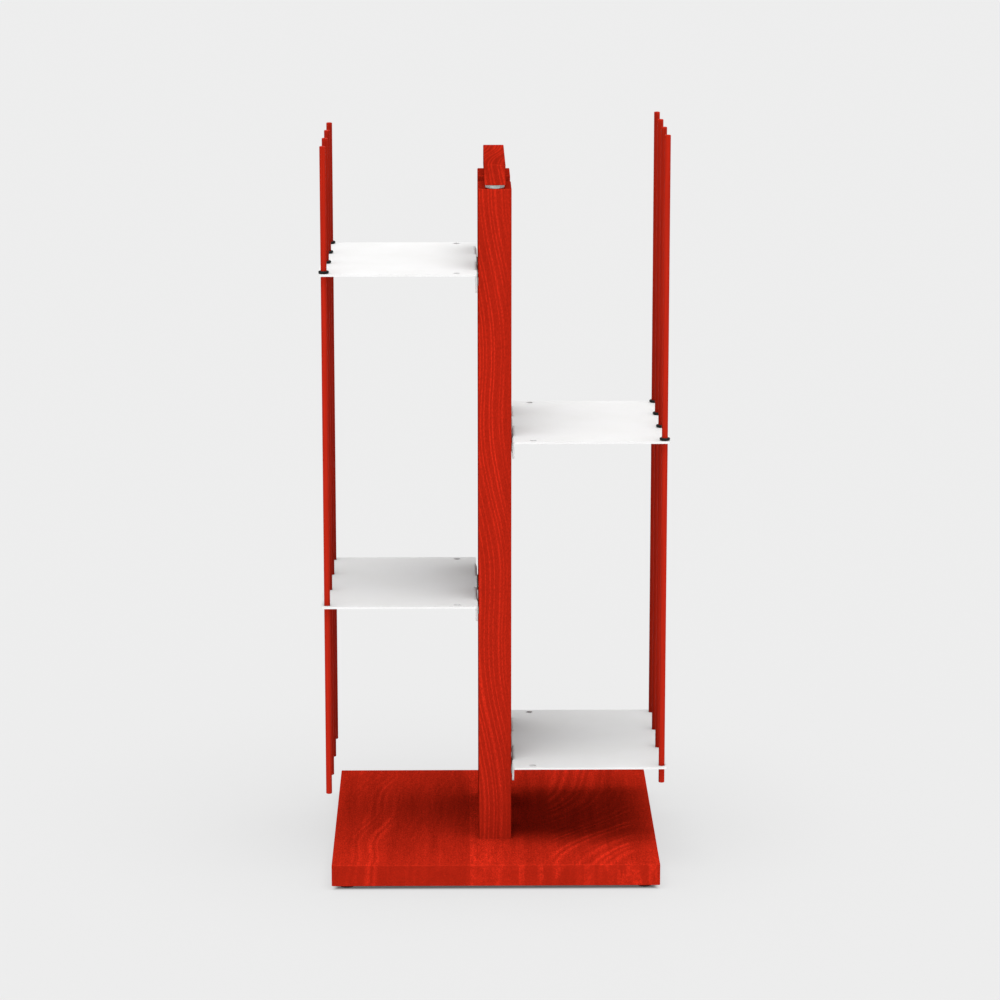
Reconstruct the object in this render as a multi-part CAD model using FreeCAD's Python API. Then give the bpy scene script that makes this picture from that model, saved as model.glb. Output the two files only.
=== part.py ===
import FreeCAD, Part
import math
import os

# Spine bookshelf: two posts on a square base, folded sheet shelves on alternate sides, loose rods as guards.
# Millimetres, +Z up. The origin is on the floor under the middle of the base, and -Y is the front.

# Base board
base_width = 330.0
base_depth = 330.0
base_thickness = 22.0
base_edge_radius = 1.0

# Foot pads: pad_inset runs from the board's edge to the middle of the pad
pad_diameter = 16.0
pad_height = 4.0
pad_inset = 15.0
pad_edge_radius = 1.2

# Posts: one behind the other, with a hand's gap between them
post_width = 33.0
post_depth = 58.0
post_gap = 44.0
post_head = 81.0
post_edge_radius = 1.0

# Carry bar across the two posts
bar_width = 21.0
bar_height = 20.5
bar_edge_radius = 0.8

# Spacer discs under the bar: spacer_inset runs from the post's outer face to the disc's rim
spacer_diameter = 19.0
spacer_height = 3.5
spacer_inset = 0.5
spacer_edge_radius = 0.4

# Shelves: one bent sheet each, with a tab folded down beside each post; shelf_gap runs from post to plate
shelf_reach = 158.0
shelf_depth = 214.0
shelf_gap = 1.8
shelf_corner_radius = 3.0
sheet_thickness = 2.0
bend_inner_radius = 1.0
bend_relief = 0.5
relief_width = 1.5
tab_height = 24.0
tab_end_inset = 5.0
tab_corner_radius = 4.0
spare_hole_offset = 21.5

# Shelf heights: the first one above the base board, then one step from shelf to shelf
first_shelf_height = 84.0
shelf_step = 168.5

# Rods: the margins are the sheet left between a rod's hole and the shelf's edges
rod_diameter = 6.0
rod_length = 660.0
rod_end_radius = 0.8
rod_clearance = 0.5
rod_side_margin = 2.0
rod_end_margin = 4.5
rods_per_side = 4

# Rod heights: the left rods' heads stand above the upper shelf, the right rods' feet hang below the lower one
left_rod_rise = 125.8
right_rod_foot = 18.0

# O-rings: ring_grip is how far the rod flattens the ring's section
ring_section = 2.5
ring_grip = 0.2
ring_seat_gap = 0.3

# Base screws: countersunk, up through the board into the posts
base_screw_diameter = 5.0
base_screw_length = 60.0
base_screw_head_diameter = 10.0
base_screw_head_height = 2.8
base_screw_recess = 0.4
base_screw_key = 3.0
base_screw_key_depth = 2.0

# Tab screws: countersunk, flush in the shelf's tabs, through a thin washer into the posts
tab_screw_diameter = 4.0
tab_screw_length = 24.0
tab_screw_head_diameter = 7.5
tab_screw_head_height = 1.8
tab_screw_key = 2.5
tab_screw_key_depth = 1.4
washer_diameter = 9.0
washer_thickness = 1.0

# Studs through the spacers, between the bar and the posts
stud_diameter = 6.0
stud_in_post = 34.0
stud_in_bar_share = 0.7

# Shares: places along a post's depth of its screws, and the length of a screw's tip to its diameter
post_screw_shares = (0.25, 0.75)
tip_share = 0.9

# Share of a straight edge's length that has to run along an axis for the edge to count as parallel to it
parallel_share = 0.999

# Fits and working values
screw_clearance = 0.1
cut_overrun = 1.0
match_tolerance = 0.01
full_turn = 360.0
quarter_turn = 90.0
half_turn = 180.0
hexagon_sides = 6

# Shelves from the lowest up, with their sides: 1 on the right and -1 on the left
shelf_sides = {"right_lower": 1, "left_lower": -1, "right_upper": 1, "left_upper": -1}

# Heights and places that follow from the sizes above
base_low = pad_height
base_top = base_low + base_thickness
first_shelf_top = base_top + first_shelf_height
shelf_tops = {name: first_shelf_top + step * shelf_step for step, name in enumerate(shelf_sides)}
post_top = shelf_tops["left_upper"] + post_head
bar_low = post_top + spacer_height
spine_depth = 2 * post_depth + post_gap
post_middle = (post_gap + post_depth) / 2
post_face = post_width / 2
shelf_edge = post_face + shelf_reach
plate_edge = post_face + shelf_gap
tab_face = post_face + washer_thickness
bend_radius = bend_inner_radius + sheet_thickness
bend_line = tab_face + bend_radius
tab_root = bend_line + bend_relief
tab_length = post_depth - 2 * tab_end_inset
tab_screw_drop = (tab_height + bend_radius) / 2
rod_radius = rod_diameter / 2
rod_hole_radius = rod_radius + rod_clearance
rod_x = shelf_edge - rod_side_margin - rod_hole_radius
rod_row = shelf_depth - 2 * (rod_end_margin + rod_hole_radius)
rod_ys = [rod_row * (place / (rods_per_side - 1) - 1 / 2) for place in range(rods_per_side)]
left_rod_high = shelf_tops["left_upper"] + left_rod_rise
right_rod_high = shelf_tops["right_lower"] - right_rod_foot + rod_length
stud_y = spine_depth / 2 - spacer_inset - spacer_diameter / 2

Vector = FreeCAD.Vector
origin = Vector(0, 0, 0)
x_axis = Vector(1, 0, 0)
y_axis = Vector(0, 1, 0)
z_axis = Vector(0, 0, 1)


def level_edges(shape, height):
    """Edges of a shape that lie level at one height."""
    low = height - match_tolerance
    high = height + match_tolerance
    return [edge for edge in shape.Edges if edge.BoundBox.ZMin > low and edge.BoundBox.ZMax < high]


def straight_edges(shape, axis):
    """Straight edges of a shape that run along an axis."""
    lines = [edge for edge in shape.Edges if isinstance(edge.Curve, Part.Line)]
    return [edge for edge in lines if abs(edge.Curve.Direction.dot(axis)) > parallel_share]


def placed(shape, placement):
    """Copy of a shape at a placement."""
    copy = shape.copy()
    copy.Placement = placement
    return copy


def post_screw_ys():
    """Places of the screws along the spine, two in each post."""
    front = -spine_depth / 2
    rear = post_gap / 2
    return [start + share * post_depth for start in (front, rear) for share in post_screw_shares]


def turned(points):
    """Solid turned about the Z axis from an outline of (radius, height) points."""
    outline = Part.makePolygon([Vector(radius, 0, height) for radius, height in points + points[:1]])
    return Part.Face(outline).revolve(origin, z_axis, full_turn)


def shank(diameter, low, high, grow=0):
    """Screw shank with a pointed lower end, or the hole that it needs when grow is its clearance."""
    radius = diameter / 2 + grow
    tip = low - grow
    return turned([(0, high), (radius, high), (radius, tip + tip_share * diameter), (0, tip)])


def key_socket(across_flats, top, depth):
    """Hexagon socket that is cut into a screw's head."""
    corner = across_flats / (2 * math.cos(math.pi / hexagon_sides))
    angles = [2 * math.pi * side / hexagon_sides for side in range(hexagon_sides + 1)]
    corners = [Vector(corner * math.cos(angle), corner * math.sin(angle), top - depth) for angle in angles]
    return Part.Face(Part.makePolygon(corners)).extrude(z_axis * (depth + cut_overrun))


def countersunk(diameter, length, head_diameter, head_height, grow):
    """Countersunk screw with its head's top at zero, or the hole that it needs when grow is its clearance."""
    rim = (head_diameter / 2 + grow, 0)
    neck = (diameter / 2 + grow, -head_height)
    head = turned([(0, 0), rim, neck, (0, -head_height)])
    return head.fuse(shank(diameter, -length, -head_height, grow)).removeSplitter()


def mouth(head_diameter, recess):
    """Opening above a countersunk head that lies a recess below the surface."""
    return Part.makeCylinder(head_diameter / 2 + screw_clearance, recess + cut_overrun)


def base_screw(grow=0):
    """Screw of the base board, or the hole that it needs."""
    return countersunk(base_screw_diameter, base_screw_length, base_screw_head_diameter,
                       base_screw_head_height, grow)


def base_screw_place(y):
    """Placement that turns a screw head down, in the underside of the base board."""
    return FreeCAD.Placement(Vector(0, y, base_low + base_screw_recess), FreeCAD.Rotation(x_axis, half_turn))


def base_screws():
    """Four screws, two in each post."""
    screw = base_screw().cut(key_socket(base_screw_key, 0, base_screw_key_depth))
    return [placed(screw, base_screw_place(y)) for y in post_screw_ys()]


def base_screw_holes():
    """The base screws' holes, for the board and the posts."""
    hole = base_screw(screw_clearance).fuse(mouth(base_screw_head_diameter, base_screw_recess))
    return [placed(hole, base_screw_place(y)) for y in post_screw_ys()]


def tab_screw(grow=0):
    """Screw of a shelf's tab, or the hole that it needs."""
    return countersunk(tab_screw_diameter, tab_screw_length, tab_screw_head_diameter,
                       tab_screw_head_height, grow)


def tab_screw_places(side, top):
    """Placements that lay a shelf's screws through its tabs, with their heads flush and outwards."""
    turn = FreeCAD.Rotation(y_axis, side * quarter_turn)
    outside = side * (tab_face + sheet_thickness)
    height = top - tab_screw_drop
    return [FreeCAD.Placement(Vector(outside, y, height), turn) for y in post_screw_ys()]


def tab_screws(side, top):
    """Four screws of one shelf, two in each tab."""
    screw = tab_screw().cut(key_socket(tab_screw_key, 0, tab_screw_key_depth))
    return [placed(screw, place) for place in tab_screw_places(side, top)]


def tab_screw_holes(side, top):
    """The tab screws' holes, for one shelf and the posts."""
    hole = tab_screw(screw_clearance).fuse(mouth(tab_screw_head_diameter, 0))
    return [placed(hole, place) for place in tab_screw_places(side, top)]


def tab_washers(side, top):
    """Four thin washers of one shelf, which keep its tabs off the wood."""
    seat = -z_axis * (sheet_thickness + washer_thickness)
    disc = Part.makeCylinder(washer_diameter / 2, washer_thickness, seat)
    washer = disc.cut(tab_screw(screw_clearance))
    return [placed(washer, place) for place in tab_screw_places(side, top)]


def bar_stud(y, grow=0):
    """Double-ended stud from a post's top into the bar, or the hole that it needs."""
    foot = shank(stud_diameter, post_top - stud_in_post, bar_low, grow)
    radius = stud_diameter / 2 + grow
    tip = bar_low + stud_in_bar_share * bar_height + grow
    head = turned([(0, bar_low), (radius, bar_low), (radius, tip - tip_share * stud_diameter), (0, tip)])
    stud = foot.fuse(head).removeSplitter()
    stud.translate(Vector(0, y, 0))
    return stud


def base_board():
    """Square board with eased edges and the screws' holes."""
    corner = Vector(-base_width / 2, -base_depth / 2, base_low)
    board = Part.makeBox(base_width, base_depth, base_thickness, corner)
    board = board.makeFillet(base_edge_radius, board.Edges)
    return board.cut(base_screw_holes())


def post(middle):
    """Post on the base board with eased edges, drilled for every screw that enters it."""
    corner = Vector(-post_face, middle - post_depth / 2, base_top)
    body = Part.makeBox(post_width, post_depth, post_top - base_top, corner)
    seat = level_edges(body, base_top)
    eased = [edge for edge in body.Edges if not any(edge.isSame(other) for other in seat)]
    body = body.makeFillet(post_edge_radius, eased)
    holes = base_screw_holes() + [bar_stud(y, screw_clearance) for y in (-stud_y, stud_y)]
    for name, side in shelf_sides.items():
        holes += tab_screw_holes(side, shelf_tops[name])
    near = [hole for hole in holes if abs(hole.BoundBox.Center.y - middle) < post_depth / 2]
    return body.cut(near)


def carry_bar():
    """Bar over both posts, bored from below for the studs."""
    corner = Vector(-bar_width / 2, -spine_depth / 2, bar_low)
    bar = Part.makeBox(bar_width, spine_depth, bar_height, corner)
    bar = bar.makeFillet(bar_edge_radius, bar.Edges)
    return bar.cut([bar_stud(y, screw_clearance) for y in (-stud_y, stud_y)])


def spacer(y):
    """Metal disc between a post and the bar, with the stud's hole."""
    disc = Part.makeCylinder(spacer_diameter / 2, spacer_height, Vector(0, y, post_top))
    rims = level_edges(disc, post_top) + level_edges(disc, bar_low)
    return disc.makeFillet(spacer_edge_radius, rims).cut(bar_stud(y, screw_clearance))


def foot_pad(x, y):
    """Round pad under a corner of the base board, rounded where it meets the floor."""
    pad = Part.makeCylinder(pad_diameter / 2, pad_height, Vector(x, y, 0))
    return pad.makeFillet(pad_edge_radius, level_edges(pad, 0))


def tab_window(middle, top):
    """Cut in a plate's edge for a tab, with a relief slot at each end of the bend."""
    length = tab_length + 2 * relief_width
    corner = Vector(plate_edge - cut_overrun, middle - length / 2, top - sheet_thickness - cut_overrun)
    width = tab_root - plate_edge + cut_overrun
    return Part.makeBox(width, length, sheet_thickness + 2 * cut_overrun, corner)


def folded_tab(middle, top):
    """Tab of a right-hand shelf: a strip that leaves the plate, bends down and hangs beside a post."""
    low = top - tab_height
    bend_z = top - bend_radius
    under = top - sheet_thickness
    outside = tab_face + sheet_thickness
    lean = math.cos(math.radians(quarter_turn / 2))
    outer_middle = Vector(bend_line - lean * bend_radius, 0, bend_z + lean * bend_radius)
    inner_middle = Vector(bend_line - lean * bend_inner_radius, 0, bend_z + lean * bend_inner_radius)
    post_side = [Vector(tab_face, 0, low), Vector(tab_face, 0, bend_z)]
    plate_side = [Vector(bend_line, 0, top), Vector(tab_root, 0, top), Vector(tab_root, 0, under)]
    open_side = [Vector(outside, 0, bend_z), Vector(outside, 0, low)]
    outer_bend = Part.Arc(post_side[-1], outer_middle, plate_side[0]).toShape()
    inner_start = Vector(bend_line, 0, under)
    inner_bend = Part.Arc(inner_start, inner_middle, open_side[0]).toShape()
    runs = [post_side, plate_side + [inner_start], open_side + post_side[:1]]
    first, second, third = [Part.makePolygon(run).Edges for run in runs]
    outline = Part.Wire(first + [outer_bend] + second + [inner_bend] + third)
    tab = Part.Face(outline).extrude(y_axis * tab_length)
    tab.translate(y_axis * (middle - tab_length / 2))
    corners = [edge for edge in straight_edges(tab, x_axis) if edge.BoundBox.ZMax < bend_z]
    return tab.makeFillet(tab_corner_radius, corners)


def shelf(side, top):
    """Shelf on one side: plate, two folded tabs, the rods' holes and two spare holes near the posts."""
    under = top - sheet_thickness
    corner = Vector(plate_edge, -shelf_depth / 2, under)
    plate = Part.makeBox(shelf_edge - plate_edge, shelf_depth, sheet_thickness, corner)
    plate = plate.makeFillet(shelf_corner_radius, straight_edges(plate, z_axis))
    middles = (-post_middle, post_middle)
    plate = plate.cut([tab_window(middle, top) for middle in middles])
    sheet = plate.fuse([folded_tab(middle, top) for middle in middles]).removeSplitter()
    hole_places = [(rod_x, y) for y in rod_ys]
    hole_places += [(post_face + spare_hole_offset, y) for y in (rod_ys[0], rod_ys[-1])]
    hole_low = under - cut_overrun
    hole_length = sheet_thickness + 2 * cut_overrun
    holes = [Part.makeCylinder(rod_hole_radius, hole_length, Vector(x, y, hole_low)) for x, y in hole_places]
    sheet = sheet.cut(holes + tab_screw_holes(1, top))
    return sheet if side > 0 else sheet.mirror(origin, x_axis)


def rod(x, y, high):
    """Round rod with eased ends."""
    low = high - rod_length
    stick = Part.makeCylinder(rod_radius, rod_length, Vector(x, y, low))
    return stick.makeFillet(rod_end_radius, level_edges(stick, low) + level_edges(stick, high))


def ring(x, y, top):
    """O-ring gripped on a rod, just above its shelf."""
    middle = Vector(x, y, top + ring_seat_gap + ring_section / 2)
    cord = ring_section / 2
    hoop = Part.makeTorus(rod_radius + cord - ring_grip, cord, middle, z_axis)
    bore = Part.makeCylinder(rod_radius, ring_section, middle - z_axis * cord)
    return hoop.cut(bore)


def save(name, shapes):
    """Write one node, as a single solid or as a group of separate ones."""
    solids = [solid for shape in shapes for solid in shape.Solids]
    node = solids[0] if len(solids) == 1 else Part.makeCompound(solids)
    node.exportStep("parts/" + name + ".step")


def main():
    os.makedirs("parts", exist_ok=True)
    save("base_board", [base_board()])
    save("base_screws", base_screws())
    save("carry_bar", [carry_bar()])
    save("bar_studs", [bar_stud(-stud_y), bar_stud(stud_y)])
    for name, end in (("front", -1), ("rear", 1)):
        save(name + "_post", [post(end * post_middle)])
        save(name + "_spacer", [spacer(end * stud_y)])
        for corner, side in (("left", -1), ("right", 1)):
            pad_x = side * (base_width / 2 - pad_inset)
            pad_y = end * (base_depth / 2 - pad_inset)
            save(name + "_" + corner + "_pad", [foot_pad(pad_x, pad_y)])
    for name, side in shelf_sides.items():
        save(name + "_shelf", [shelf(side, shelf_tops[name])])
        save(name + "_screws", tab_screws(side, shelf_tops[name]))
        save(name + "_washers", tab_washers(side, shelf_tops[name]))
    for name, side, high in (("left", -1, left_rod_high), ("right", 1, right_rod_high)):
        for place, y in enumerate(rod_ys, start=1):
            save(name + "_rod_" + str(place), [rod(side * rod_x, y, high)])
            save(name + "_ring_" + str(place), [ring(side * rod_x, y, shelf_tops[name + "_upper"])])


main()
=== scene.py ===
import math

import bmesh
import bpy
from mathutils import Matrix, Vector


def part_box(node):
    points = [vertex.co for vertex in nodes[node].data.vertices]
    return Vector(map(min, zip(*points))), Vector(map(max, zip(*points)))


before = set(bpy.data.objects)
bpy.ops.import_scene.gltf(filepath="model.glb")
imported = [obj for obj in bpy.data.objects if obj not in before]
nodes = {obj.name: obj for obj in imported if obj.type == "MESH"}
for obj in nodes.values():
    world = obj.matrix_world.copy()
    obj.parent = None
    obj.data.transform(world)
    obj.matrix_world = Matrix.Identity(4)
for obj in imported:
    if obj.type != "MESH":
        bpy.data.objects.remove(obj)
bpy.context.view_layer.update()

# Spine bookshelf: finishes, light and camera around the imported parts. Metres, +Z up, and -Y is the front
mm = 0.001

# Names of the parts that come in sets
sides = ("left", "right")
ends = ("front", "rear")
shelves = [side + "_" + level for side in sides for level in ("lower", "upper")]
rods = [side + "_rod_" + str(number) for side in sides for number in range(1, 5)]


def linear(code):
    """Linear colour, with alpha, of an sRGB hex code."""
    colour = []
    for start in (1, 3, 5):
        share = int(code[start:start + 2], 16) / 255
        colour.append(share / 12.92 if share <= 0.04045 else ((share + 0.055) / 1.055) ** 2.4)
    return colour + [1]


def add(owner, kind, inputs={}, stops=(), **settings):
    """Add a node to a material or world, with its settings, a ramp's colours, and its inputs.

    An input is a value, a socket to link, or a node, which stands for its first output.
    """
    tree = owner.node_tree
    node = tree.nodes.new("ShaderNode" + kind)
    for name, value in settings.items():
        setattr(node, name, value)
    for name, value in inputs.items():
        if isinstance(value, bpy.types.Node):
            value = value.outputs[0]
        if isinstance(value, bpy.types.NodeSocket):
            tree.links.new(value, node.inputs[name])
        else:
            node.inputs[name].default_value = value
    if stops:
        marks = node.color_ramp.elements
        marks.remove(marks[1])
        marks[0].position, marks[0].color = stops[0][0], linear(stops[0][1])
        for position, code in stops[1:]:
            marks.new(position).color = linear(code)
    return node


def new_finish(name):
    """Empty material with a node tree."""
    finish = bpy.data.materials.new(name)
    finish.use_nodes = True
    finish.node_tree.nodes.clear()
    return finish


def close(finish, shader):
    """Send a shader to the material's output."""
    add(finish, "OutputMaterial", {"Surface": shader})
    return finish


def cover(finish, *names):
    """Give a finish to the named parts."""
    for name in names:
        for slot in nodes[name].material_slots:
            slot.material = finish


def seeing_ray(owner):
    """One for a ray that sees the backdrop, from the camera or off gloss or through glass, or else zero."""
    ray = add(owner, "LightPath").outputs
    direct = add(owner, "Math", {0: ray["Is Camera Ray"], 1: ray["Is Glossy Ray"]}, operation="MAXIMUM")
    return add(owner, "Math", {0: direct, 1: ray["Is Transmission Ray"]}, operation="MAXIMUM")


# Most of what the wood and the sheet send on is this weak grey, so that red doesn't tint its neighbours
bounce_grey = "#2c2c2c"
bounce_share = 0.85


def soft_bounce(finish, colour):
    """A colour as it is seen, mixed with weak grey for the light that it sends on to other surfaces."""
    bounced = add(finish, "LightPath").outputs["Is Diffuse Ray"]
    share = add(finish, "Math", {0: bounced, 1: bounce_share}, operation="MULTIPLY")
    return add(finish, "Mix", {0: share, 6: colour, 7: linear(bounce_grey)}, data_type="RGBA").outputs[2]


# Stained ash: open-grained wood under a thin red stain, sanded and left matt. The eye sees pale thin lines of
# growth rings that wander along the grain on a deeper red, a fine speckle of pores, and edges rubbed lighter
ash_red = "#b42413"
ash_line_red = "#dc2e1a"
ash_edge_red = "#d63a24"

# Sizes across and along the grain. Pores and fibres are drawn coarse enough to show
ash_pore = (1.1 * mm, 2.4 * mm)
ash_fibre = (1.6 * mm, 40 * mm)
ash_streak = (13 * mm, 260 * mm)
ash_sway = (60 * mm, 150 * mm)
ash_mottle = (4.2 * mm, 14 * mm)

# The bands on end grain stand upright
ash_band = (8.5 * mm, 60 * mm)

# Width of a rubbed edge, width of the pale strip along a seam, and depth of the open grain
ash_edge = 1.6 * mm
ash_seam = 75 * mm
ash_relief = 0.08 * mm

# Growth rings, in shares of a ring: wet and dry years shift them, and strong years have broader lines
weather_scale = 0.6
weather_shift = 1.3
line_heart = 0.02
line_growth = 0.40

# Strength of what is left of the lines beside their band, and on the end grain of a later stave
line_beside = 0.22
line_on_end = 0.5

# Strength of the seam's pale strip, of fibres and streaks beside pores, of the speckle and of its lack on end
# grain, of rubbed edges, and of the lines' relief
seam_pale = 0.78
fibre_share = 0.35
streak_share = 0.5
speckle_depth = 0.34
end_calm = 0.5
edge_wear = 0.1
line_relief = 0.4

# Range of the grain's value, where pores, fibres and streaks add up
grain_low = 0.5
grain_high = 1.35


def stretched(finish, vector, size, detail, along="Z"):
    """Noise whose spots have one length across the grain and another along it."""
    scale = [1 / size[1] if letter == along else 1 / size[0] for letter in "XYZ"]
    scaled = add(finish, "VectorMath", {0: vector, 1: scale}, operation="MULTIPLY")
    return add(finish, "TexNoise", {"Vector": scaled, "Scale": 1.0, "Detail": detail})


def ring_lines(finish, place, stave):
    """Strength of a stave's pale lines, from grain coordinates with X across its rings and Z along them."""
    wood = add(finish, "Mapping", {"Vector": place, "Location": stave["origin"],
                                   "Rotation": [math.radians(angle) for angle in stave["turn"]]},
               vector_type="TEXTURE")
    grain = add(finish, "SeparateXYZ", {0: wood}).outputs
    spot = add(finish, "SeparateXYZ", {0: place}).outputs

    # The lines wander, and sweep from side to side along the grain
    sway = stretched(finish, wood, ash_sway, 2.0)
    swayed = add(finish, "Math", {0: sway, 1: stave["sway"], 2: grain["X"]}, operation="MULTIPLY_ADD")
    turn = add(finish, "Math", {0: grain["Z"], 1: 2 * math.pi / stave["sweep_length"]}, operation="MULTIPLY")
    swing = add(finish, "Math", {0: turn}, operation="SINE")
    across = add(finish, "Math", {0: swing, 1: -stave["sweep"], 2: swayed}, operation="MULTIPLY_ADD")

    # Towards its crown the lines of a flat-sawn stave turn back in arches
    if "crown" in stave:
        bend = stave["bend"]
        start = add(finish, "Math", {0: spot["X"], 1: stave["crown"] - bend}, operation="SUBTRACT")
        past = add(finish, "Math", {0: start, 1: 0.0}, operation="MAXIMUM")
        square = add(finish, "Math", {0: past, 1: 2.0}, operation="POWER")
        across = add(finish, "Math", {0: square, 1: -0.5 / bend, 2: across}, operation="MULTIPLY_ADD")

    # Wet and dry years leave wide and narrow rings
    even = add(finish, "Math", {0: across, 1: stave["ring_width"]}, operation="DIVIDE")
    weather = add(finish, "TexNoise", {"W": even, "Scale": weather_scale, "Detail": 0.0},
                  noise_dimensions="1D")
    rings = add(finish, "Math", {0: weather, 1: weather_shift, 2: even}, operation="MULTIPLY_ADD")
    share = add(finish, "Math", {0: rings}, operation="FRACT")
    away = add(finish, "Math", {0: share, 1: 0.5}, operation="SUBTRACT")
    apart = add(finish, "Math", {0: away}, operation="ABSOLUTE")

    # Every ring's line has a width and a strength of its own
    ring = add(finish, "Math", {0: rings}, operation="FLOOR")
    year = add(finish, "TexWhiteNoise", {"W": ring}, noise_dimensions="1D")
    uneven = stave["uneven"]
    width = add(finish, "Math", {0: year, 1: line_growth * uneven, 2: stave["line_share"]},
                operation="MULTIPLY_ADD")
    force = add(finish, "Math", {0: year, 1: uneven, 2: 1 - uneven}, operation="MULTIPLY_ADD")
    line = add(finish, "MapRange", {"Value": apart, "From Min": width, "From Max": line_heart,
                                    "To Min": 0.0, "To Max": force}, interpolation_type="SMOOTHSTEP")

    # The lines are clear in a band along the stave, and fade out beside it
    offset = add(finish, "Math", {0: spot["X"], 1: stave["origin"].x}, operation="SUBTRACT")
    reach = add(finish, "Math", {0: offset}, operation="ABSOLUTE")
    band = add(finish, "MapRange", {"Value": reach, "From Min": stave["clear_to"],
                                    "From Max": stave["faint_from"], "To Min": 1.0, "To Max": line_beside},
               interpolation_type="SMOOTHSTEP")
    return add(finish, "Math", {0: line, 1: band}, operation="MULTIPLY")


def glued_staves(finish, place, staves, along, on_end):
    """Pale lines and tone of a row of staves, from left to right."""
    lines = ring_lines(finish, place, staves[0])
    tone = staves[0]["tone"]
    spot = add(finish, "SeparateXYZ", {0: place}).outputs
    for stave in staves[1:]:
        edge = stave["edge"]
        past = add(finish, "Math", {0: spot["X"], 1: edge}, operation="GREATER_THAN")
        fade = add(finish, "MapRange", {"Value": on_end, "To Min": 1.0, "To Max": line_on_end})
        faded = add(finish, "Math", {0: ring_lines(finish, place, stave), 1: fade}, operation="MULTIPLY")

        # A later stave is paler along its seam and in bands on its end grain, and both are mottled
        seam = add(finish, "MapRange", {"Value": spot["X"], "From Min": edge, "From Max": edge + ash_seam,
                                        "To Min": seam_pale, "To Max": 0.0}, interpolation_type="SMOOTHSTEP")
        band = add(finish, "MapRange", {"Value": stretched(finish, place, ash_band, 2.0),
                                        "From Min": 0.47, "From Max": 0.58, "To Min": 0.0, "To Max": on_end},
                   interpolation_type="SMOOTHSTEP")
        patches = add(finish, "Math", {0: seam, 1: band}, operation="MAXIMUM")
        mottle = add(finish, "MapRange", {"Value": stretched(finish, place, ash_mottle, 1.0, along),
                                          "From Min": 0.36, "From Max": 0.64, "To Min": 0.4, "To Max": 1.0})
        mottled = add(finish, "Math", {0: patches, 1: mottle}, operation="MULTIPLY")
        paler = add(finish, "Math", {0: faded, 1: mottled}, operation="MAXIMUM")
        lines = add(finish, "Mix", {0: past, 2: lines, 3: paler})
        tone = add(finish, "Mix", {0: past, 2: tone, 3: stave["tone"]})
    return lines, tone


def edge_distance(finish, place, piece):
    """Distance to a block's nearest edge: the middle one of three, as that to its own face is zero."""
    spot = add(finish, "SeparateXYZ", {0: place}).outputs
    low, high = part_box(piece)
    reach = []
    for axis, letter in enumerate("XYZ"):
        offset = add(finish, "Math", {0: spot[letter], 1: (low[axis] + high[axis]) / 2}, operation="SUBTRACT")
        away = add(finish, "Math", {0: offset}, operation="ABSOLUTE")
        reach.append(add(finish, "Math", {0: (high[axis] - low[axis]) / 2, 1: away}, operation="SUBTRACT"))
    nearer = add(finish, "Math", {0: reach[0], 1: reach[1]}, operation="MINIMUM")
    farther = add(finish, "Math", {0: reach[0], 1: reach[1]}, operation="MAXIMUM")
    capped = add(finish, "Math", {0: farther, 1: reach[2]}, operation="MINIMUM")
    return add(finish, "Math", {0: nearer, 1: capped}, operation="MAXIMUM")


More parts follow.
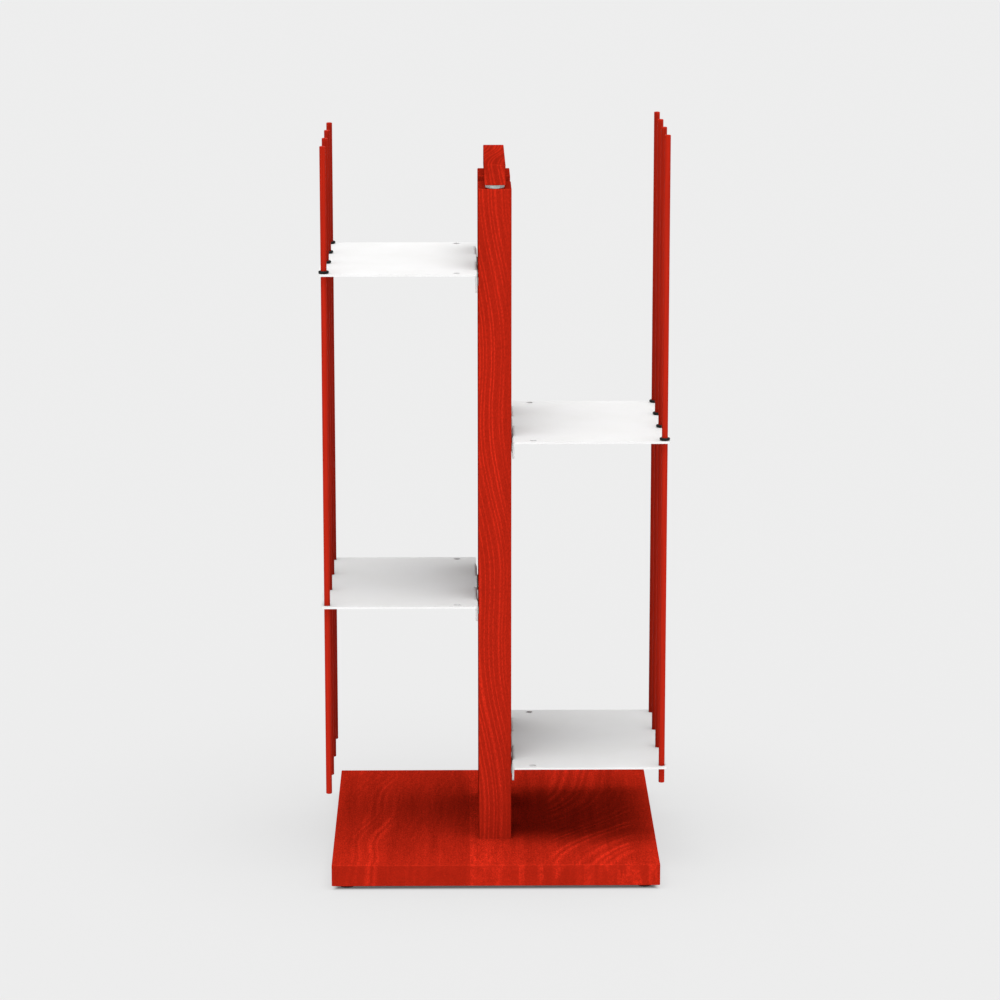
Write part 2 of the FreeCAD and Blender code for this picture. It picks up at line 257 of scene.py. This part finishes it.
def stained_ash(name, piece, staves, along, speckled, end_stain_and_shade):
    """Ash for one block, with its grain along an axis, glued up from staves, and speckled by its pores."""
    finish = new_finish(name)
    coordinates = add(finish, "TexCoord").outputs
    place = coordinates["Object"]
    facing = add(finish, "SeparateXYZ", {0: coordinates["Normal"]}).outputs
    turned = add(finish, "Math", {0: facing[along]}, operation="ABSOLUTE")
    on_end = add(finish, "MapRange", {"Value": turned, "From Min": 0.6, "From Max": 0.9})
    lines, tone = glued_staves(finish, place, staves, along, on_end)

    # Pores and fibres run with the grain, and show as dots on the end grain; broad streaks run through them
    pores = stretched(finish, place, ash_pore, 1.0, along)
    fibres = stretched(finish, place, ash_fibre, 2.0, along)
    streak = stretched(finish, place, ash_streak, 2.0, along)
    speckle = add(finish, "Math", {0: fibres, 1: fibre_share, 2: pores}, operation="MULTIPLY_ADD")
    grain = add(finish, "Math", {0: streak, 1: streak_share, 2: speckle}, operation="MULTIPLY_ADD")

    # The pores break up the pale lines
    broken = add(finish, "MapRange", {"Value": grain, "From Min": 0.72, "From Max": 1.12,
                                      "To Min": 0.5, "To Max": 1.0})
    shown = add(finish, "Math", {0: lines, 1: broken}, operation="MULTIPLY")
    veined = add(finish, "Mix", {0: shown, 6: linear(ash_red), 7: linear(ash_line_red)}, data_type="RGBA")

    # They speckle the stain too. End grain takes up more stain, so it is evener. Its tone per block is partly
    # deeper stain and partly painted light and shade, making end faces darker or lighter than the long faces
    depth = speckle_depth * speckled
    spots = add(finish, "MapRange", {"Value": grain, "From Min": grain_low, "From Max": grain_high,
                                     "To Min": 1 - depth, "To Max": 1 + depth})
    calm = add(finish, "Math", {0: on_end, 1: end_calm}, operation="MULTIPLY")
    calmed = add(finish, "Mix", {0: calm, 2: spots, 3: 1.0})
    toned = add(finish, "Math", {0: calmed, 1: tone}, operation="MULTIPLY")
    end_face_shade = add(finish, "MapRange", {"Value": on_end, "To Min": 1.0, "To Max": end_stain_and_shade})
    shade = add(finish, "Math", {0: toned, 1: end_face_shade}, operation="MULTIPLY")
    stained = add(finish, "HueSaturation", {"Value": shade, "Color": veined.outputs[2]})

    # Edges are rubbed in places
    rubbed = add(finish, "MapRange", {"Value": edge_distance(finish, place, piece), "From Min": ash_edge,
                                      "From Max": 0.2 * ash_edge, "To Min": 0.0, "To Max": edge_wear})
    worn = add(finish, "Math", {0: rubbed, 1: streak}, operation="MULTIPLY")
    colour = add(finish, "Mix", {0: worn, 6: stained, 7: linear(ash_edge_red)}, data_type="RGBA")

    rough = add(finish, "MapRange", {"Value": grain, "From Min": grain_low, "From Max": grain_high,
                                     "To Min": 0.78, "To Max": 0.92})
    relief = add(finish, "Math", {0: lines, 1: line_relief, 2: speckle}, operation="MULTIPLY_ADD")
    bump = add(finish, "Bump", {"Strength": 0.5, "Distance": ash_relief, "Height": relief})
    return close(finish, add(finish, "BsdfPrincipled", {
        "Base Color": soft_bounce(finish, colour.outputs[2]), "Roughness": rough, "IOR": 1.45,
        "Specular IOR Level": 0.0, "Normal": bump}))


# Staves: an origin and a turn in degrees place the grain, which runs from front to back in the board and the
# bar, and up in the posts. A line fades over its share of a ring to each side, and years differ by uneven
board_left_stave = dict(
    origin=Vector((-126, -40, 15)) * mm, turn=(-90, 0, -8), ring_width=9.5 * mm, line_share=0.24, uneven=0.8,
    sway=14 * mm, sweep=4 * mm, sweep_length=155 * mm, clear_to=12 * mm, faint_from=24 * mm, tone=1.11)
board_right_stave = dict(
    origin=Vector((99, -50, 15)) * mm, turn=(-90, 0, -24), ring_width=11 * mm, line_share=0.24, uneven=0.8,
    sway=12 * mm, sweep=17 * mm, sweep_length=330 * mm, clear_to=36 * mm, faint_from=46 * mm, tone=1.18,
    edge=-26 * mm, crown=156 * mm, bend=26 * mm)
front_post_stave = dict(
    origin=Vector((-9, -80, 500)) * mm, turn=(0, -4.5, 24), ring_width=4.0 * mm, line_share=0.24, uneven=0.25,
    sway=6 * mm, sweep=4.4 * mm, sweep_length=240 * mm, clear_to=12 * mm, faint_from=24 * mm, tone=0.98)
rear_post_stave = dict(
    origin=Vector((6, 80, 430)) * mm, turn=(0, 3.8, -28), ring_width=4.3 * mm, line_share=0.24, uneven=0.25,
    sway=6 * mm, sweep=4.2 * mm, sweep_length=260 * mm, clear_to=13 * mm, faint_from=24 * mm, tone=0.98)
bar_stave = dict(
    origin=Vector((0, 0, 710)) * mm, turn=(-90, -12, -8), ring_width=4.2 * mm, line_share=0.42, uneven=0.0,
    sway=4 * mm, sweep=1.5 * mm, sweep_length=140 * mm, clear_to=20 * mm, faint_from=30 * mm, tone=0.81)

# The last column sets end faces darker or lighter: partly deeper stain, partly painted light and shade
for piece, name, staves, along, speckled, end_stain_and_shade in (
        ("base_board", "stained_ash_board", [board_left_stave, board_right_stave], "Y", 1.35, 0.825),
        ("front_post", "stained_ash_front_post", [front_post_stave], "Z", 0.65, 0.9),
        ("rear_post", "stained_ash_rear_post", [rear_post_stave], "Z", 0.65, 0.9),
        ("carry_bar", "stained_ash_bar", [bar_stave], "Y", 1.1, 1.07)):
    cover(stained_ash(name, piece, staves, along, speckled, end_stain_and_shade), piece)


def painted_beech():
    """Painted beech: close-grained dowel under smooth paint, so the eye sees even red with faint streaks."""
    streak_size = (1.1 * mm, 60 * mm)
    cloud_size = 35 * mm
    relief = 0.05 * mm
    finish = new_finish("painted_beech")
    place = add(finish, "TexCoord").outputs["Object"]
    streaks = stretched(finish, place, streak_size, 2.0)
    cloud = add(finish, "TexNoise", {"Vector": place, "Scale": 1 / cloud_size, "Detail": 2.0})
    brushed = add(finish, "Math", {0: streaks, 1: cloud}, operation="ADD")
    colour = add(finish, "ValToRGB", {0: streaks}, ((0.25, "#b02212"), (0.5, "#bd2614"), (0.75, "#c82916")))
    rough = add(finish, "MapRange", {"Value": brushed, "From Min": 0.6, "From Max": 1.4,
                                     "To Min": 0.48, "To Max": 0.62})
    bump = add(finish, "Bump", {"Strength": 0.4, "Distance": relief, "Height": brushed})
    return close(finish, add(finish, "BsdfPrincipled", {
        "Base Color": soft_bounce(finish, colour.outputs["Color"]), "Roughness": rough, "IOR": 1.48,
        "Specular IOR Level": 0.03, "Normal": bump}))


cover(painted_beech(), *rods)


def powder_coat():
    """White powder coat on sheet steel: baked on, so the eye sees a soft orange-peel skin, barely glossy."""
    peel_size = 1.6 * mm
    cloud_size = 45 * mm
    relief = 0.08 * mm
    finish = new_finish("white_powder_coat")
    place = add(finish, "TexCoord").outputs["Object"]
    peel = add(finish, "TexNoise", {"Vector": place, "Scale": 1 / peel_size, "Detail": 1.0})
    cloud = add(finish, "TexNoise", {"Vector": place, "Scale": 1 / cloud_size, "Detail": 3.0})
    colour = add(finish, "ValToRGB", {0: cloud}, ((0.3, "#f6f6f5"), (0.7, "#fafafa")))
    rough = add(finish, "MapRange", {"Value": cloud, "From Min": 0.3, "From Max": 0.7,
                                     "To Min": 0.42, "To Max": 0.55})
    bump = add(finish, "Bump", {"Strength": 0.25, "Distance": relief, "Height": peel})
    return close(finish, add(finish, "BsdfPrincipled", {
        "Base Color": soft_bounce(finish, colour.outputs["Color"]), "Roughness": rough, "IOR": 1.5,
        "Specular IOR Level": 0.2, "Normal": bump}))


cover(powder_coat(), *[shelf + "_shelf" for shelf in shelves])

# A wave texture of scale 1 repeats after this length
wave_length = 2 * math.pi / 20


def turned_steel():
    """Steel disc turned on a lathe and left satin: fine rings round the rim, drawn coarse enough to show."""
    groove = 0.5 * mm
    cloud_size = 3 * mm
    relief = 0.05 * mm
    finish = new_finish("turned_steel")
    place = add(finish, "TexCoord").outputs["Object"]
    grooves = add(finish, "TexWave", {"Vector": place, "Scale": wave_length / groove, "Distortion": 0.6},
                  wave_type="BANDS", bands_direction="Z")
    cloud = add(finish, "TexNoise", {"Vector": place, "Scale": 1 / cloud_size, "Detail": 2.0})
    colour = add(finish, "ValToRGB", {0: cloud}, ((0.3, "#b2bebc"), (0.7, "#d0d9d7")))
    rough = add(finish, "MapRange", {"Value": cloud, "To Min": 0.40, "To Max": 0.56})
    bump = add(finish, "Bump", {"Strength": 0.3, "Distance": relief, "Height": grooves.outputs["Fac"]})
    return close(finish, add(finish, "BsdfPrincipled", {
        "Base Color": colour, "Metallic": 1.0, "Roughness": rough, "Normal": bump}))


cover(turned_steel(), *[end + "_spacer" for end in ends])


def zinc_plate():
    """Bright zinc on steel screws: thin plating, so the eye sees a cold tint and cloudy patches."""
    cloud_size = 2.5 * mm
    relief = 0.04 * mm
    finish = new_finish("zinc_plated_steel")
    place = add(finish, "TexCoord").outputs["Object"]
    cloud = add(finish, "TexNoise", {"Vector": place, "Scale": 1 / cloud_size, "Detail": 3.0})
    colour = add(finish, "ValToRGB", {0: cloud}, ((0.3, "#b3b8bd"), (0.7, "#cfd2d3")))
    rough = add(finish, "MapRange", {"Value": cloud, "To Min": 0.22, "To Max": 0.45})
    bump = add(finish, "Bump", {"Strength": 0.2, "Distance": relief, "Height": cloud})
    return close(finish, add(finish, "BsdfPrincipled", {
        "Base Color": colour, "Metallic": 1.0, "Roughness": rough, "Normal": bump}))


cover(zinc_plate(), "base_screws", "bar_studs", *[shelf + "_screws" for shelf in shelves])


def milky_nylon():
    """Moulded nylon washers: milky, slightly see-through plastic, so the eye sees a soft waxy white."""
    cloud_size = 2 * mm
    relief = 0.03 * mm
    finish = new_finish("milky_nylon")
    place = add(finish, "TexCoord").outputs["Object"]
    cloud = add(finish, "TexNoise", {"Vector": place, "Scale": 1 / cloud_size, "Detail": 2.0})
    colour = add(finish, "ValToRGB", {0: cloud}, ((0.3, "#dddcd6"), (0.7, "#e6e5e0")))
    rough = add(finish, "MapRange", {"Value": cloud, "To Min": 0.38, "To Max": 0.52})
    bump = add(finish, "Bump", {"Strength": 0.2, "Distance": relief, "Height": cloud})
    return close(finish, add(finish, "BsdfPrincipled", {
        "Base Color": colour, "Roughness": rough, "IOR": 1.53, "Normal": bump}))


cover(milky_nylon(), *[shelf + "_washers" for shelf in shelves])


def black_rubber(name, codes, grit):
    """Moulded black rubber: matt, with grit, drawn coarse enough to show, and a faint grey bloom."""
    bloom_size = 12 * grit
    relief = 0.06 * mm
    finish = new_finish(name)
    place = add(finish, "TexCoord").outputs["Object"]
    grains = add(finish, "TexNoise", {"Vector": place, "Scale": 1 / grit, "Detail": 2.0})
    bloom = add(finish, "TexNoise", {"Vector": place, "Scale": 1 / bloom_size, "Detail": 2.0})
    colour = add(finish, "ValToRGB", {0: bloom}, ((0.3, codes[0]), (0.7, codes[1])))
    rough = add(finish, "MapRange", {"Value": grains, "To Min": 0.62, "To Max": 0.85})
    bump = add(finish, "Bump", {"Strength": 0.3, "Distance": relief, "Height": grains})
    return close(finish, add(finish, "BsdfPrincipled", {
        "Base Color": colour, "Roughness": rough, "IOR": 1.5, "Specular IOR Level": 0.25, "Normal": bump}))


ring_rubber = black_rubber("nitrile_rubber", ("#141818", "#1d2323"), grit=0.5 * mm)
cover(ring_rubber, *[rod.replace("rod", "ring") for rod in rods])
foot_rubber = black_rubber("foot_rubber", ("#17181a", "#232427"), grit=0.7 * mm)
cover(foot_rubber, *[end + "_" + side + "_pad" for end in ends for side in sides])

# Floor: pale and plain, wide enough to fill the view. It looks part backdrop and part lit, so that it keeps
# the object's shadow, and under the board it is nearly all lit, so that the pads stand in shade
floor_reach = 60.0
backdrop = "#ececec"
backdrop_share = 0.66
shaded_share = 0.15
floor_shape = bmesh.new()
bmesh.ops.create_grid(floor_shape, x_segments=1, y_segments=1, size=floor_reach)
floor_mesh = bpy.data.meshes.new("floor")
floor_shape.to_mesh(floor_mesh)
floor_shape.free()
floor = bpy.data.objects.new("floor", floor_mesh)
bpy.context.scene.collection.objects.link(floor)

# The shade of the square board ends between these distances from its middle
board_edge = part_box("base_board")[1][1]
shade_start = board_edge - 7 * mm
shade_end = board_edge - 1 * mm
pale = new_finish("pale_floor")
lit = add(pale, "BsdfDiffuse", {"Color": linear("#e6e6e6")})
even = add(pale, "Emission", {"Color": linear(backdrop), "Strength": 1.0})
open_floor = add(pale, "Math", {0: seeing_ray(pale), 1: backdrop_share}, operation="MULTIPLY")
under_board = add(pale, "Math", {0: open_floor, 1: shaded_share}, operation="MULTIPLY")
spot = add(pale, "SeparateXYZ", {0: add(pale, "TexCoord").outputs["Object"]}).outputs
sideways = add(pale, "Math", {0: spot["X"]}, operation="ABSOLUTE")
lengthways = add(pale, "Math", {0: spot["Y"]}, operation="ABSOLUTE")
outward = add(pale, "Math", {0: sideways, 1: lengthways}, operation="MAXIMUM")
share = add(pale, "MapRange", {"Value": outward, "From Min": shade_start, "From Max": shade_end,
                               "To Min": under_board, "To Max": open_floor}, interpolation_type="SMOOTHSTEP")
close(pale, add(pale, "MixShader", {0: share, 1: lit, 2: even}))
floor_mesh.materials.append(pale)

# Studio: an even dome, seen as the backdrop
studio = bpy.data.worlds.new("studio")
bpy.context.scene.world = studio
studio.use_nodes = True
studio.node_tree.nodes.clear()
dome = add(studio, "Background", {"Color": linear("#ffffff"), "Strength": 0.46})
seen = add(studio, "Background", {"Color": linear(backdrop), "Strength": 1.0})
add(studio, "OutputWorld", {"Surface": add(studio, "MixShader", {0: seeing_ray(studio), 1: dome, 2: seen})})


def soft_sun(name, strength, spread, height, bearing):
    """Sun lamp without glare. Its disc, height and bearing are in degrees, and bearing 0 is the front."""
    lamp = bpy.data.lights.new(name, "SUN")
    lamp.energy = strength
    lamp.angle = math.radians(spread)
    lamp_object = bpy.data.objects.new(name, lamp)
    lamp_object.rotation_euler = (math.radians(90 - height), 0, math.radians(bearing))
    lamp_object.visible_glossy = False
    bpy.context.scene.collection.objects.link(lamp_object)


# A broad soft light from above, and level ones for the front and the back
soft_sun("overhead", strength=2.02, spread=55, height=81, bearing=6)
soft_sun("front_fill", strength=0.78, spread=3, height=1.5, bearing=0)
soft_sun("rear_fill", strength=0.54, spread=3, height=1.5, bearing=180)

# Camera: the photograph's standpoint, turned to look at the middle of the spine
camera_place = Vector((-0.0369, -3.659, 1.181))
camera_aim = Vector((0.0050, -0.080, 0.3822))
camera = bpy.data.cameras.new("camera")
camera.lens = 131.4
camera.sensor_width = 36
camera.clip_end = 100
camera_object = bpy.data.objects.new("camera", camera)
camera_object.location = camera_place
camera_object.rotation_euler = (camera_aim - camera_place).to_track_quat("-Z", "Y").to_euler()
bpy.context.scene.collection.objects.link(camera_object)
bpy.context.scene.camera = camera_object
bpy.context.scene.view_settings.view_transform = "Standard"
